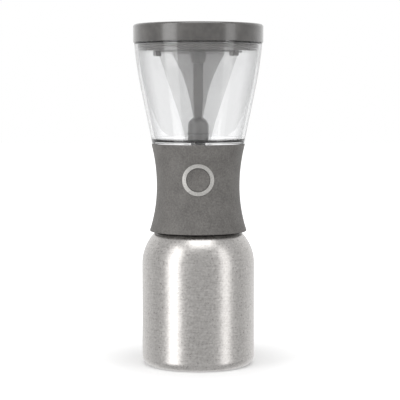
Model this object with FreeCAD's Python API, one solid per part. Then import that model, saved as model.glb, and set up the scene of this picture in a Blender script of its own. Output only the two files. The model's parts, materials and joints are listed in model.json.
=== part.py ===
import FreeCAD, Part
import math
import os

from FreeCAD import Vector

# Cold brew coffee maker: a clear brewing chamber with a cone filter stands in a
# waisted collar, and the collar's button lets the brew run into a steel carafe below.
# Sizes are millimetres. The origin is the middle of the base, +Z is up, and the
# button faces -Y.

# Carafe: a double walled steel flask
carafe_r = 53.5
carafe_h = 156.0
shoulder_drop = 60.0
carafe_wall = 0.6
base_round = 8.0
foot_ring_r = 40.0
base_recess = 2.4
base_dimple_r = 13.0
base_dimple_h = 0.8
shoulder_round = 42.0
neck_r = 35.0
neck_fillet = 4.0
vacuum_gap = 3.0
vacuum_floor_gap = 6.0
neck_vacuum_gap = 1.6
inner_floor_round = 12.0
rim_round = 0.28
seal_bead_r = 2.6
seal_bead_h = 0.7
getter_r = 6.0
getter_h = 1.2

# Gasket between the carafe's rim and the collar
gasket_h = 2.4
gasket_in = 0.7
gasket_out = 0.6

# Collar: a rigid core under a soft grip sleeve
collar_drop = 31.4
collar_rise = 51.6
waist_rise = 11.6
waist_r = 39.4
upper_flare_r = 160.0
lower_flare_r = 137.0
sleeve_wall = 2.0
core_wall = 2.4
edge_round = 0.9
thread_room = 1.6
thread_wall = 2.0
thread_depth = 24.4
web_wall = 2.4
funnel_rise = 5.4
funnel_fall = 7.0
spout_r = 9.0
spout_wall = 2.0
spout_drop = 12.0

# Brewing chamber
chamber_wall = 3.0
chamber_foot_r = 43.6
chamber_taper = 11.7
chamber_straight_h = 52.0
chamber_curve_r = 370.0
chamber_h = 95.0
chamber_floor = 2.5
chamber_corner = 4.0
chamber_neck_step = 1.5
chamber_neck_wall = 2.3
chamber_neck_h = 13.0
skirt_r = 38.4
skirt_wall = 2.5
skirt_h = 11.7
skirt_fit = 0.1
seal_h = 0.8
screw_count = 3
screw_turn = 90.0
screw_drop = 6.0
screw_r = 1.2
screw_head_r = 2.4
screw_head_h = 1.1
screw_reach = 0.4
screw_sink = 0.1

# Lid
lid_r = 61.5
lid_gap = 0.4
lid_skirt_wall = 1.7
lid_top = 2.5
lid_round = 2.4
lid_dish_in = 6.0
lid_dish_h = 0.7
plug_gap = 0.8
plug_wall = 2.0
plug_drop = 8.0
plug_flange_h = 1.9
plug_seat_gap = 0.05
gasket_lip_gap = 0.1
lid_gasket_groove = 1.4
lid_gasket_rise = 2.6
lid_gasket_h = 3.6

# Filter under the lid
hub_r = 9.0
hub_tip_r = 6.9
hub_h = 11.0
hub_round = 1.6
stem_span = 4.6
stem_rib = 1.7
stem_tip_span = 3.3
stem_tip_rise = 20.0
stem_foot_in = 4.5
mesh_wall = 0.5
cone_tip_r = 4.1
cone_tip_rise = 20.5
foot_socket = 2.4
cone_straight_h = 20.0
cone_foot_angle = 12.0
cone_flare_r = 130.0
cone_mouth_angle = 28.0
screen_foot_r = 12.5
screen_foot_rise = 1.6
screen_foot_angle = 10.0
screen_flare_r = 155.0
screen_mouth_angle = 18.5
rim_h = 1.4
rim_land = 1.2
rim_flange = 3.6
clip_count = 3
clip_turn = -157.0
clip_w = 7.0
clip_leg = 2.2
clip_foot_h = 3.4
clip_gap = 0.1

# Drain in the chamber's floor
drain_r = 10.0
drain_base_h = 6.3
drain_gasket_h = 1.0
drain_neck_r = 8.3
drain_neck_h = 6.2
drain_bore_r = 6.6
drain_tube_r = 7.0
drain_tube_bore_r = 5.2
drain_tube_h = 7.0
drain_round = 1.0
seat_hole_r = 4.4
seat_rise = 2.0
seat_wall = 1.2
nut_across = 20.0
nut_h = 4.6
spider_h = 2.0
spider_hub_r = 2.7
spider_arm_w = 1.6
bell_gap = 0.3
bell_fit = 0.2
bell_wall = 1.5
ring_section_r = 0.52
ring_squeeze = 0.07

# Valve
valve_stem_r = 1.5
poppet_r = 5.6
poppet_h = 2.0
poppet_crown = 0.8
valve_seal_h = 0.7
valve_seal_gap = 0.05
foot_r = 4.5
foot_h = 2.0
valve_spring_r = 3.3
valve_wire_r = 0.4
valve_turns = 5

# Button and its cup in the collar
button_rise = 7.6
button_r = 10.8
button_gap = 0.4
button_face = 3.4
button_proud = 0.1
button_skirt_wall = 1.4
button_skirt_h = 4.0
button_travel = 4.0
bezel_w = 3.6
bezel_proud = 0.6
bezel_fit = 0.05
cup_wall = 1.6
cup_depth = 13.6
cup_floor = 2.0
boss_h = 4.2
boss_r = 6.0
button_stem_r = 2.5
button_hub_r = 3.6
button_hub_h = 2.4
spigot_r = 1.8
seal_section_r = 0.7
clip_r = 4.5
clip_h = 0.8
clip_slot = 3.0
clip_groove = 0.6
clip_rest_gap = 0.3
button_spring_r = 4.7
button_wire_r = 0.45
button_turns = 5

# Bell crank that turns the button's push into the valve's lift
push_arm = 12.4
lift_arm = 14.0
nose_r = 2.0
push_arm_half = 1.1
arm_w = 6.0
lever_hub_r = 4.0
pin_r = 1.5
pin_head_r = 2.4
pin_head_h = 0.8
ear_wall = 2.5
ear_r = 5.0
ear_gap = 0.3
touch_gap = 0.3

# Clearances
running_fit = 0.05

# Heights that follow from the sizes above
carafe_straight_h = carafe_h - shoulder_drop
land_z = carafe_h + gasket_h
collar_bottom_z = land_z - collar_drop
collar_top_z = land_z + collar_rise
waist_z = land_z + waist_rise
button_z = waist_z + button_rise
floor_z = collar_top_z + chamber_floor
chamber_top_z = collar_top_z + chamber_h
rim_z = chamber_top_z + chamber_neck_h
plug_bottom_z = chamber_top_z - plug_drop
pivot_y = -lift_arm
pivot_z = button_z + push_arm
drain_base_z = floor_z + drain_gasket_h
seam_z = drain_base_z + drain_base_h
seat_z = drain_base_z + seat_rise
tube_bottom_z = drain_base_z - drain_gasket_h - chamber_floor - drain_tube_h
foot_z = pivot_z + nose_r + touch_gap


def point(r, z):
    """A point of an outline: its distance from the axis and its height."""
    return Vector(r, 0, z)


class Outline:
    """A closed outline beside the Z axis, drawn with lines and arcs."""

    def __init__(self, r, z):
        self.first = point(r, z)
        self.last = self.first
        self.edges = []

    def line(self, r, z):
        end = point(r, z)
        if end.distanceToPoint(self.last) > 1e-7:
            self.edges.append(Part.makeLine(self.last, end))
            self.last = end
        return self

    def arc(self, centre, r, z):
        """An arc about a centre, the short way round."""
        end = point(r, z)
        middle = point(*centre)
        start_ray = self.last - middle
        half_ray = start_ray + (end - middle)
        half_ray.normalize()
        crown = middle + half_ray * start_ray.Length
        self.edges.append(Part.Arc(self.last, crown, end).toShape())
        self.last = end
        return self

    def solid(self):
        """The solid that the outline sweeps round the Z axis."""
        if self.last.distanceToPoint(self.first) > 1e-7:
            self.edges.append(Part.makeLine(self.last, self.first))
        face = Part.Face(Part.Wire(self.edges))
        return face.revolve(Vector(0, 0, 0), Vector(0, 0, 1), 360)


def turned(corners):
    """A turned solid from straight-sided corners (r, z) or (r, z, rounding)."""
    places = [point(c[0], c[1]) for c in corners]
    rounds = [c[2] if len(c) > 2 else 0 for c in corners]
    count = len(corners)
    ends = []
    for i in range(count):
        if not rounds[i]:
            ends.append((places[i], None, places[i]))
            continue
        back = (places[i - 1] - places[i]).normalize()
        ahead = (places[(i + 1) % count] - places[i]).normalize()
        half = back.getAngle(ahead) / 2
        reach = rounds[i] / math.tan(half)
        inward = (back + ahead).normalize()
        crown = places[i] + inward * (rounds[i] / math.sin(half) - rounds[i])
        ends.append((places[i] + back * reach, crown, places[i] + ahead * reach))
    edges = []
    for i in range(count):
        start, crown, end = ends[i]
        if crown:
            edges.append(Part.Arc(start, crown, end).toShape())
        edges.append(Part.makeLine(end, ends[(i + 1) % count][0]))
    face = Part.Face(Part.Wire(edges))
    return face.revolve(Vector(0, 0, 0), Vector(0, 0, 1), 360)


def ring(r_in, r_out, low, high, rounding=0):
    """A plain ring about the Z axis."""
    return turned([
        (r_in, low, rounding),
        (r_out, low, rounding),
        (r_out, high, rounding),
        (r_in, high, rounding),
    ])


def rod(r, low, high):
    """A round bar on the Z axis."""
    return Part.makeCylinder(r, high - low, Vector(0, 0, low))


def cross_rod(r, start, end, height, axis):
    """A round bar along X or Y, centred on the lever's or the button's line."""
    if axis == "x":
        return Part.makeCylinder(r, end - start, Vector(start, pivot_y, height), Vector(1, 0, 0))
    return Part.makeCylinder(r, end - start, Vector(0, start, height), Vector(0, 1, 0))


def o_ring(middle_r, section_r, height):
    """A round sealing ring about the Z axis."""
    return Part.makeTorus(middle_r, section_r, Vector(0, 0, height), Vector(0, 0, 1))


def neck_fillet_points(shoulder, wall_r, fillet):
    """Centre of the fillet between the shoulder's arc and the neck, and where it starts."""
    centre_r = carafe_r - shoulder_round
    across = wall_r + fillet - centre_r
    along = math.sqrt((shoulder + fillet) ** 2 - across**2)
    share = shoulder / (shoulder + fillet)
    centre = (wall_r + fillet, carafe_straight_h + along)
    start = (centre_r + across * share, carafe_straight_h + along * share)
    return centre, start


def on_ray(centre, place, r):
    """The point at distance r from a centre, towards another place."""
    ray = (place[0] - centre[0], place[1] - centre[1])
    length = math.hypot(*ray)
    return centre[0] + ray[0] * r / length, centre[1] + ray[1] * r / length


def carafe_outer_shell():
    """The outer skin, from the turned-in foot to just under the rim."""
    base = (carafe_r - base_round, base_round)
    shoulder = (carafe_r - shoulder_round, carafe_straight_h)
    fillet, start = neck_fillet_points(shoulder_round, neck_r, neck_fillet)
    inside = carafe_r - carafe_wall
    inner_start = on_ray(fillet, start, neck_fillet + carafe_wall)
    outline = Outline(foot_ring_r, base_recess)
    outline.line(foot_ring_r, 0)
    outline.line(base[0], 0)
    outline.arc(base, carafe_r, base_round)
    outline.line(carafe_r, carafe_straight_h)
    outline.arc(shoulder, *start)
    outline.arc(fillet, neck_r, fillet[1])
    outline.line(neck_r, carafe_h - carafe_wall)
    outline.line(neck_r - carafe_wall, carafe_h - carafe_wall)
    outline.line(neck_r - carafe_wall, fillet[1])
    outline.arc(fillet, *inner_start)
    outline.arc(shoulder, inside, carafe_straight_h)
    outline.line(inside, base_round)
    outline.arc(base, base[0], carafe_wall)
    outline.line(foot_ring_r + carafe_wall, carafe_wall)
    outline.line(foot_ring_r + carafe_wall, base_recess)
    return outline.solid()


def carafe_inner_shell():
    """The liner, with the rim that closes the gap between the two skins."""
    outside = carafe_r - carafe_wall - vacuum_gap
    inside = outside - carafe_wall
    neck_out = neck_r - carafe_wall - neck_vacuum_gap
    bore = neck_out - carafe_wall
    low = base_recess + carafe_wall + vacuum_floor_gap
    shoulder = (carafe_r - shoulder_round, carafe_straight_h)
    arc_out = outside - shoulder[0]
    fillet, start = neck_fillet_points(arc_out, neck_out, neck_fillet)
    inner_start = on_ray(fillet, start, neck_fillet + carafe_wall)
    corner = (outside - inner_floor_round, low + inner_floor_round)
    outline = Outline(0, low)
    outline.line(corner[0], low)
    outline.arc(corner, outside, corner[1])
    outline.line(outside, carafe_straight_h)
    outline.arc(shoulder, *start)
    outline.arc(fillet, neck_out, fillet[1])
    outline.line(neck_out, carafe_h - carafe_wall)
    outline.line(neck_r, carafe_h - carafe_wall)
    outline.line(neck_r, carafe_h - rim_round)
    outline.arc((neck_r - rim_round, carafe_h - rim_round), neck_r - rim_round, carafe_h)
    outline.line(bore, carafe_h)
    outline.line(bore, fillet[1])
    outline.arc(fillet, *inner_start)
    outline.arc(shoulder, inside, carafe_straight_h)
    outline.line(inside, corner[1])
    outline.arc(corner, corner[0], low + carafe_wall)
    outline.line(0, low + carafe_wall)
    return outline.solid()


def carafe_base_plate():
    """The pressed disc welded inside the foot, dimpled for the sealed port."""
    low = base_recess - carafe_wall
    return turned([
        (0, low + base_dimple_h),
        (base_dimple_r - base_dimple_h, low + base_dimple_h),
        (base_dimple_r, low),
        (foot_ring_r, low),
        (foot_ring_r, low + carafe_wall),
        (base_dimple_r + carafe_wall / 2, low + carafe_wall),
        (base_dimple_r + carafe_wall / 2 - base_dimple_h, low + base_dimple_h + carafe_wall),
        (0, low + base_dimple_h + carafe_wall),
    ])


def vacuum_seal_bead():
    """The drop of solder that closes the port under the dimple."""
    top = base_recess - carafe_wall + base_dimple_h
    ball_r = (seal_bead_r**2 + seal_bead_h**2) / (2 * seal_bead_h)
    outline = Outline(0, top)
    outline.line(seal_bead_r, top)
    outline.arc((0, top - seal_bead_h + ball_r), 0, top - seal_bead_h)
    return outline.solid()


def vacuum_getter():
    """The pill under the liner that keeps the gap empty of gas."""
    top = base_recess + carafe_wall + vacuum_floor_gap
    return rod(getter_r, top - getter_h, top)


def neck_gasket():
    """The flat ring that the brewer stands on."""
    bore = neck_r - 2 * carafe_wall - neck_vacuum_gap
    return ring(bore - gasket_in, neck_r + gasket_out, carafe_h, land_z, 0.4)


def collar_r(z, inset):
    """Radius of the waisted collar at a height, a given depth under its surface."""
    flare = upper_flare_r if z >= waist_z else lower_flare_r
    return waist_r + flare - math.sqrt((flare + inset) ** 2 - (z - waist_z) ** 2)


def flare_centre(upper):
    """Centre of the collar's upper or lower arc."""
    flare = upper_flare_r if upper else lower_flare_r
    return waist_r + flare, waist_z


def collar_body(inset):
    """The whole collar as if it were full, a given depth under its surface."""
    low, high = collar_bottom_z, collar_top_z
    outline = Outline(0, low)
    outline.line(collar_r(low, inset), low)
    outline.arc(flare_centre(False), waist_r - inset, waist_z)
    outline.arc(flare_centre(True), collar_r(high, inset), high)
    outline.line(0, high)
    return outline.solid()


def grip_sleeve():
    """The soft skin over the core, with the round opening for the bezel."""
    low, high = collar_bottom_z, collar_top_z
    outline = Outline(collar_r(low, sleeve_wall), low)
    outline.line(collar_r(low, 0) - edge_round, low)
    tip_r = collar_r(low + edge_round, 0)
    outline.arc((tip_r - edge_round, low + edge_round), tip_r, low + edge_round)
    outline.arc(flare_centre(False), waist_r, waist_z)
    outline.arc(flare_centre(True), collar_r(high - edge_round, 0), high - edge_round)
    tip_r = collar_r(high - edge_round, 0)
    outline.arc((tip_r - edge_round, high - edge_round), tip_r - edge_round, high)
    outline.line(collar_r(high, sleeve_wall), high)
    outline.arc(flare_centre(True), waist_r - sleeve_wall, waist_z)
    outline.arc(flare_centre(False), *(collar_r(low, sleeve_wall), low))
    hole_r = button_r + button_gap + bezel_w + bezel_fit
    return outline.solid().cut(cross_rod(hole_r, -2 * waist_r, 0, button_z, "y"))


def cup_front_y():
    """Where the collar's surface is on the button's line, as a distance along Y."""
    return -collar_r(button_z, 0)


def cup_floor_y():
    """The face at the bottom of the button's cup."""
    return cup_front_y() + cup_depth


def boss_end_y():
    """The inner end of the boss that guides the button's stem."""
    return cup_floor_y() + cup_floor + boss_h


def core_profile():
    """The turned core: outer wall, funnel with spout, and the sleeve round the neck."""
    low = collar_bottom_z
    high = collar_top_z - seal_h
    inset = sleeve_wall + core_wall
    bore = neck_r + thread_room
    thread_out = bore + thread_wall
    thread_low = land_z - thread_depth
    flare = waist_r + lower_flare_r
    meet_z = waist_z - math.sqrt((lower_flare_r + inset) ** 2 - (flare - thread_out) ** 2)
    funnel_z = land_z + funnel_rise
    spout_z = funnel_z - funnel_fall
    pocket_r = skirt_r + skirt_fit
    pocket_z = collar_top_z - skirt_h - skirt_fit
    web_r = neck_r - 2 * carafe_wall - neck_vacuum_gap - gasket_in - 1
    outline = Outline(bore, thread_low)
    outline.line(bore, land_z)
    outline.line(web_r, land_z)
    outline.line(spout_r + spout_wall, spout_z - web_wall)
    outline.line(spout_r + spout_wall, land_z - spout_drop)
    outline.line(spout_r, land_z - spout_drop)
    outline.line(spout_r, spout_z)
    outline.line(collar_r(funnel_z, inset), funnel_z)
    outline.arc(flare_centre(False), waist_r - inset, waist_z)
    outline.arc(flare_centre(True), collar_r(pocket_z, inset), pocket_z)
    outline.line(pocket_r, pocket_z)
    outline.line(pocket_r, high)
    outline.line(collar_r(high, sleeve_wall), high)
    outline.arc(flare_centre(True), waist_r - sleeve_wall, waist_z)
    outline.arc(flare_centre(False), collar_r(low, sleeve_wall), low)
    outline.line(collar_r(low, inset), low)
    outline.arc(flare_centre(False), thread_out, meet_z)
    outline.line(thread_out, thread_low)
    return outline.solid()


def screw_places():
    """Turns about Z, in degrees, of the screws that hold the chamber's skirt."""
    return [screw_turn + 360 * i / screw_count for i in range(screw_count)]


def radial_rod(r, near, far, turn):
    """A round bar that points out from the axis at the screws' height."""
    bar = Part.makeCylinder(r, far - near, Vector(near, 0, screw_z()), Vector(1, 0, 0))
    bar.rotate(Vector(0, 0, 0), Vector(0, 0, 1), turn)
    return bar


def screw_z():
    """Height of the screws through the collar's core."""
    return collar_top_z - screw_drop


def ear_plates():
    """Two plates that carry the lever's pin, out from the core's wall."""
    gap = arm_w / 2 + ear_gap
    wall_y = -(waist_r - sleeve_wall - core_wall / 2)
    plates = []
    for side in (-1, 1):
        near = gap if side > 0 else -gap - ear_wall
        arm = Part.makeBox(ear_wall, pivot_y - wall_y, 2 * ear_r, Vector(near, wall_y, pivot_z - ear_r))
        tip = cross_rod(ear_r, near, near + ear_wall, pivot_z, "x")
        plates.append(arm.fuse(tip))
    return plates


def collar_core():
    """The rigid core with the button's cup, its boss and the lever's ears."""
    cup_r = button_r + button_gap
    floor_y = cup_floor_y()
    inner_y = floor_y + cup_floor
    end_y = boss_end_y()
    middle_y = (inner_y + end_y) / 2
    wall_y = -(waist_r - sleeve_wall - core_wall / 2)
    cup = cross_rod(cup_r + cup_wall, wall_y, inner_y, button_z, "y")
    cup = cup.common(collar_body(sleeve_wall + core_wall / 2))
    boss = cross_rod(boss_r, inner_y, end_y, button_z, "y")
    core = core_profile().fuse([cup, boss] + ear_plates())
    cuts = [
        cross_rod(cup_r, -2 * waist_r, floor_y, button_z, "y"),
        cross_rod(button_stem_r + running_fit, floor_y, end_y, button_z, "y"),
        cross_rod(button_stem_r + running_fit + 2 * seal_section_r, middle_y - seal_section_r,
                  middle_y + seal_section_r, button_z, "y"),
        cross_rod(pin_r, -waist_r, waist_r, pivot_z, "x").common(
            Part.makeBox(2 * waist_r, 4 * ear_r, 4 * ear_r,
                         Vector(-waist_r, pivot_y - 2 * ear_r, pivot_z - 2 * ear_r)).common(
                rod(waist_r - sleeve_wall - core_wall - 1, 0, 2 * pivot_z))),
    ]
    for turn in screw_places():
        surface = collar_r(screw_z(), sleeve_wall)
        cuts.append(radial_rod(screw_r, skirt_r, surface + 1, turn))
        cuts.append(radial_rod(screw_head_r, surface - screw_head_h, surface + 1, turn))
    return core.cut(cuts).removeSplitter()


def core_screws():
    """Small screws through the core into the chamber's skirt."""
    surface = collar_r(screw_z(), sleeve_wall)
    near = skirt_r - skirt_wall - screw_reach
    screws = []
    for turn in screw_places():
        shank = radial_rod(screw_r, near, surface - screw_head_h, turn)
        head = radial_rod(screw_head_r, surface - screw_head_h, surface, turn)
        head = head.common(collar_body(sleeve_wall + screw_sink))
        screws.append(shank.fuse(head).removeSplitter())
    return Part.makeCompound(screws)


def button_bezel():
    """The ring round the button, curved to the collar's waist."""
    inner = button_r + button_gap
    tube = cross_rod(inner + bezel_w, -2 * waist_r, 0, button_z, "y")
    tube = tube.cut(cross_rod(inner, -2 * waist_r, 0, button_z, "y"))
    return tube.common(collar_body(-bezel_proud)).cut(collar_body(sleeve_wall))


def chamber_surface(z, inset):
    """Radius of the chamber's wall at a height, a given depth under its outer face."""
    slope = math.radians(chamber_taper)
    bend_z = collar_top_z + chamber_straight_h
    bend_r = chamber_foot_r + chamber_straight_h * math.tan(slope)
    centre_r = bend_r - chamber_curve_r * math.cos(slope)
    centre_z = bend_z + chamber_curve_r * math.sin(slope)
    reach = chamber_curve_r - inset
    start_z = centre_z - reach * math.sin(slope)
    if z >= start_z:
        return centre_r + math.sqrt(reach**2 - (centre_z - z) ** 2)
    return centre_r + reach * math.cos(slope) - (start_z - z) * math.tan(slope)


def chamber_centre():
    """Centre of the round in the chamber's wall."""
    slope = math.radians(chamber_taper)
    bend_r = chamber_foot_r + chamber_straight_h * math.tan(slope)
    return (
        bend_r - chamber_curve_r * math.cos(slope),
        collar_top_z + chamber_straight_h + chamber_curve_r * math.sin(slope),
    )


def chamber_bend_z(inset):
    """Height where the chamber's straight taper turns into its round."""
    return chamber_centre()[1] - (chamber_curve_r - inset) * math.sin(math.radians(chamber_taper))


def neck_bore_r():
    """Inside of the chamber's plain neck."""
    return neck_outside_r() - chamber_neck_wall


def neck_outside_r():
    """Outside of the chamber's neck, inside the lid's skirt."""
    return chamber_surface(chamber_top_z, 0) - chamber_neck_step


def brew_chamber():
    """The clear vessel: neck, curved wall, floor and the skirt inside the collar."""
    centre = chamber_centre()
    wall = chamber_wall
    low = collar_top_z
    inner_foot = chamber_surface(floor_z, wall)
    outline = Outline(drain_tube_r + running_fit, low)
    outline.line(skirt_r - skirt_wall, low)
    outline.line(skirt_r - skirt_wall, low - skirt_h)
    outline.line(skirt_r, low - skirt_h)
    outline.line(skirt_r, low)
    outline.line(chamber_foot_r, low)
    bend_z = chamber_bend_z(0)
    outline.line(chamber_surface(bend_z, 0), bend_z)
    outline.arc(centre, chamber_surface(chamber_top_z, 0), chamber_top_z)
    outline.line(neck_outside_r(), chamber_top_z)
    outline.line(neck_outside_r(), rim_z)
    outline.line(neck_bore_r(), rim_z)
    outline.line(neck_bore_r(), chamber_top_z)
    inner_top = chamber_top_z - 1
    outline.line(chamber_surface(inner_top, wall), inner_top)
    bend_z = chamber_bend_z(wall)
    outline.arc(centre, chamber_surface(bend_z, wall), bend_z)
    corner_z = floor_z + chamber_corner
    corner_r = chamber_surface(corner_z, wall)
    outline.line(corner_r, corner_z)
    outline.arc((corner_r - chamber_corner, corner_z), corner_r - chamber_corner, floor_z)
    outline.line(drain_tube_r + running_fit, floor_z)
    holes = []
    for turn in screw_places():
        holes.append(radial_rod(screw_r, skirt_r - skirt_wall - 1, skirt_r + 1, turn))
    return outline.solid().cut(holes)


def chamber_seal():
    """The gasket between the core's top edge and the chamber's shoulder."""
    low = collar_top_z - seal_h
    outer = collar_r(low, sleeve_wall)
    return ring(skirt_r + 0.3, outer, low, collar_top_z)


def drain_standpipe():
    """The lower half of the dome, with the valve's seat and a tube through the floor."""
    tube_low = tube_bottom_z
    neck_top = seam_z + drain_neck_h
    groove_z = seam_z + drain_neck_h / 2
    groove_r = drain_neck_r - 2 * ring_section_r + ring_squeeze
    body = turned([
        (drain_tube_bore_r, tube_low),
        (drain_tube_r, tube_low),
        (drain_tube_r, drain_base_z),
        (drain_r, drain_base_z, drain_round),
        (drain_r, seam_z),
        (drain_neck_r, seam_z),
        (drain_neck_r, groove_z - ring_section_r),
        (groove_r, groove_z - ring_section_r),
        (groove_r, groove_z + ring_section_r),
        (drain_neck_r, groove_z + ring_section_r),
        (drain_neck_r, neck_top),
        (drain_bore_r, neck_top),
        (drain_bore_r, seat_z),
        (seat_hole_r, seat_z),
        (seat_hole_r, seat_z - seat_wall),
        (drain_tube_bore_r, seat_z - seat_wall),
    ])
    return body


def drain_gasket():
    """The washer between the standpipe and the chamber's floor."""
    return ring(drain_tube_r + running_fit, drain_r - 0.2, floor_z, drain_base_z)


def drain_nut():
    """The hexagonal nut under the chamber's floor."""
    corner_r = nut_across / 2 / math.cos(math.pi / 6)
    corners = []
    for i in range(7):
        turn = math.radians(60 * i)
        corners.append(Vector(corner_r * math.cos(turn), corner_r * math.sin(turn), 0))
    face = Part.Face(Part.makePolygon(corners))
    prism = face.extrude(Vector(0, 0, nut_h))
    prism.translate(Vector(0, 0, collar_top_z - nut_h))
    return prism.cut(rod(drain_tube_r, collar_top_z - nut_h - 1, collar_top_z + 1))


def stem_guide():
    """The spider in the drain tube that guides the valve's stem."""
    outer = ring(drain_tube_bore_r - 1, drain_tube_bore_r, tube_bottom_z, tube_bottom_z + spider_h)
    hub = rod(spider_hub_r, tube_bottom_z, tube_bottom_z + spider_h)
    arms = []
    for i in range(3):
        arm = Part.makeBox(drain_tube_bore_r - 0.5, spider_arm_w, spider_h,
                           Vector(0, -spider_arm_w / 2, tube_bottom_z))
        arm.rotate(Vector(0, 0, 0), Vector(0, 0, 1), 90 + 120 * i)
        arms.append(arm)
    bore = rod(valve_stem_r + running_fit, tube_bottom_z - 1, tube_bottom_z + spider_h + 1)
    return outer.fuse([hub] + arms).cut(bore).removeSplitter()


def drain_o_ring():
    """The ring that seals the filter's foot on the standpipe."""
    groove_r = drain_neck_r - 2 * ring_section_r + ring_squeeze
    return o_ring(groove_r + ring_section_r, ring_section_r, seam_z + drain_neck_h / 2)


def valve_stem():
    """The rod with the poppet that closes the drain from above."""
    seal_low = seat_z + valve_seal_gap
    head_low = seal_low + valve_seal_h
    return turned([
        (0, foot_z),
        (valve_stem_r, foot_z),
        (valve_stem_r, seal_low),
        (valve_stem_r + 1, seal_low),
        (valve_stem_r + 1, head_low),
        (poppet_r, head_low),
        (poppet_r, head_low + poppet_h - poppet_crown, 0.3),
        (poppet_r - 2 * poppet_crown, head_low + poppet_h),
        (0, head_low + poppet_h),
    ])


def valve_seal():
    """The soft washer under the poppet."""
    low = seat_z + valve_seal_gap
    return ring(valve_stem_r + 1, poppet_r - 0.1, low, low + valve_seal_h)


def valve_foot():
    """The flange at the stem's lower end, pushed up by the lever."""
    body = turned([
        (valve_stem_r, foot_z),
        (foot_r, foot_z, 0.4),
        (foot_r, foot_z + foot_h),
        (valve_stem_r, foot_z + foot_h),
    ])
    return body


def biarc(start, start_dir, end, end_dir):
    """Two arcs that join two places smoothly, each with its own direction."""
    chord = end - start
    total = start_dir + end_dir
    spread = 2 * (1 - start_dir.dot(end_dir))
    reach = math.sqrt(chord.dot(total) ** 2 + spread * chord.dot(chord))
    step = (reach - chord.dot(total)) / spread
    middle = (start + end + (start_dir - end_dir) * step) * 0.5
    return [tangent_arc(start, start_dir, middle), tangent_arc(end, end_dir * -1, middle)]


def tangent_arc(start, direction, end):
    """The arc that leaves a place in a direction and ends at another."""
    chord = end - start
    side = chord - direction * chord.dot(direction)
    side.normalize()
    radius = chord.dot(chord) / (2 * chord.dot(side))
    centre = start + side * radius
    crown_ray = (start - centre) + (end - centre)
    crown_ray.normalize()
    return Part.Arc(start, centre + crown_ray * radius, end).toShape()


def coil_spring(coil_r, wire_r, length, turns):
    """One unbroken helical wire about Z, standing on z = 0, on biarcs of a quarter turn."""
    quarters = 4 * turns
    pitch = (length - 2 * wire_r) / turns
    gap = pitch - 2 * wire_r
    print("coil gap", round(gap, 2))
    places = []
    for i in range(quarters + 1):
        turn = math.pi / 2 * i
        place = Vector(coil_r * math.cos(turn), coil_r * math.sin(turn), wire_r + pitch * i / 4)
        direction = Vector(-math.sin(turn), math.cos(turn), pitch / (2 * math.pi * coil_r))
        direction.normalize()
        places.append((place, direction))
    edges = []
    for i in range(quarters):
        edges.extend(biarc(*places[i], *places[i + 1]))
    spine = Part.Wire(Part.__sortEdges__(edges))
    section = Part.Wire(Part.makeCircle(wire_r, places[0][0], places[0][1]))
    return spine.makePipeShell([section], True, False)


def valve_spring():
    """The spring that holds the poppet on its seat."""
    low = foot_z + foot_h
    spring = coil_spring(valve_spring_r, valve_wire_r, tube_bottom_z - low - 0.1, valve_turns)
    spring.translate(Vector(0, 0, low + 0.05))
    return spring


def button_back_y():
    """The back of the button's face, where its spring pushes."""
    return cup_front_y() + button_face


def button_spring():
    """The spring that returns the button."""
    length = cup_floor_y() - button_back_y() - 0.1
    spring = coil_spring(button_spring_r, button_wire_r, length, button_turns)
    spring.rotate(Vector(0, 0, 0), Vector(1, 0, 0), -90)
    spring.translate(Vector(0, button_back_y() + 0.05, button_z))
    return spring


def button_cap():
    """The pressed disc: curved face, guiding skirt and a hub for the stem."""
    back = button_back_y()
    disc = cross_rod(button_r, -2 * waist_r, back, button_z, "y").common(collar_body(-button_proud))
    skirt = cross_rod(button_r, back, back + button_skirt_h, button_z, "y")
    skirt = skirt.cut(cross_rod(button_r - button_skirt_wall, back, back + button_skirt_h, button_z, "y"))
    hub = cross_rod(button_hub_r, back, back + button_hub_h, button_z, "y")
    hole = cross_rod(spigot_r, back - 1, back + button_hub_h, button_z, "y")
    return disc.fuse([skirt, hub]).cut(hole).removeSplitter()


def button_stem():
    """The pin that carries the push through the cup's floor to the lever."""
    start = button_back_y() + button_hub_h
    end = stem_end_y()
    groove = boss_end_y() + clip_rest_gap
    spigot = cross_rod(spigot_r, button_back_y() - 1, start, button_z, "y")
    stem = cross_rod(button_stem_r, start, end, button_z, "y").fuse(spigot)
    waist = cross_rod(button_stem_r, groove, groove + clip_h, button_z, "y")
    waist = waist.cut(cross_rod(button_stem_r - clip_groove, groove, groove + clip_h, button_z, "y"))
    return stem.cut(waist).removeSplitter()


def stem_end_y():
    """The end of the button's stem, just short of the lever's nose."""
    return pivot_y - nose_r - touch_gap


def button_clip():
    """The open ring that stops the button from leaving its cup."""
    start = boss_end_y() + clip_rest_gap
    disc = cross_rod(clip_r, start, start + clip_h, button_z, "y")
    disc = disc.cut(cross_rod(button_stem_r - clip_groove, start, start + clip_h, button_z, "y"))
    slot = Part.makeBox(clip_slot, clip_h, 2 * clip_r,
                        Vector(-clip_slot / 2, start, button_z - 2 * clip_r))
    return disc.cut(slot)


def button_seal():
    """The ring that keeps the brew out of the button's cup."""
    middle_y = (cup_floor_y() + cup_floor + boss_end_y()) / 2
    middle_r = button_stem_r + 2 * running_fit + seal_section_r
    return Part.makeTorus(middle_r - running_fit, seal_section_r - running_fit,
                          Vector(0, middle_y, button_z), Vector(0, 1, 0))


def lever_pin():
    """The pin that the bell crank swings on, with a head at one end."""
    reach = arm_w / 2 + ear_gap + ear_wall
    pin = cross_rod(pin_r, -reach - 0.6, reach, pivot_z, "x")
    head = cross_rod(pin_head_r, reach, reach + pin_head_h, pivot_z, "x")
    return pin.fuse(head).removeSplitter()


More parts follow.
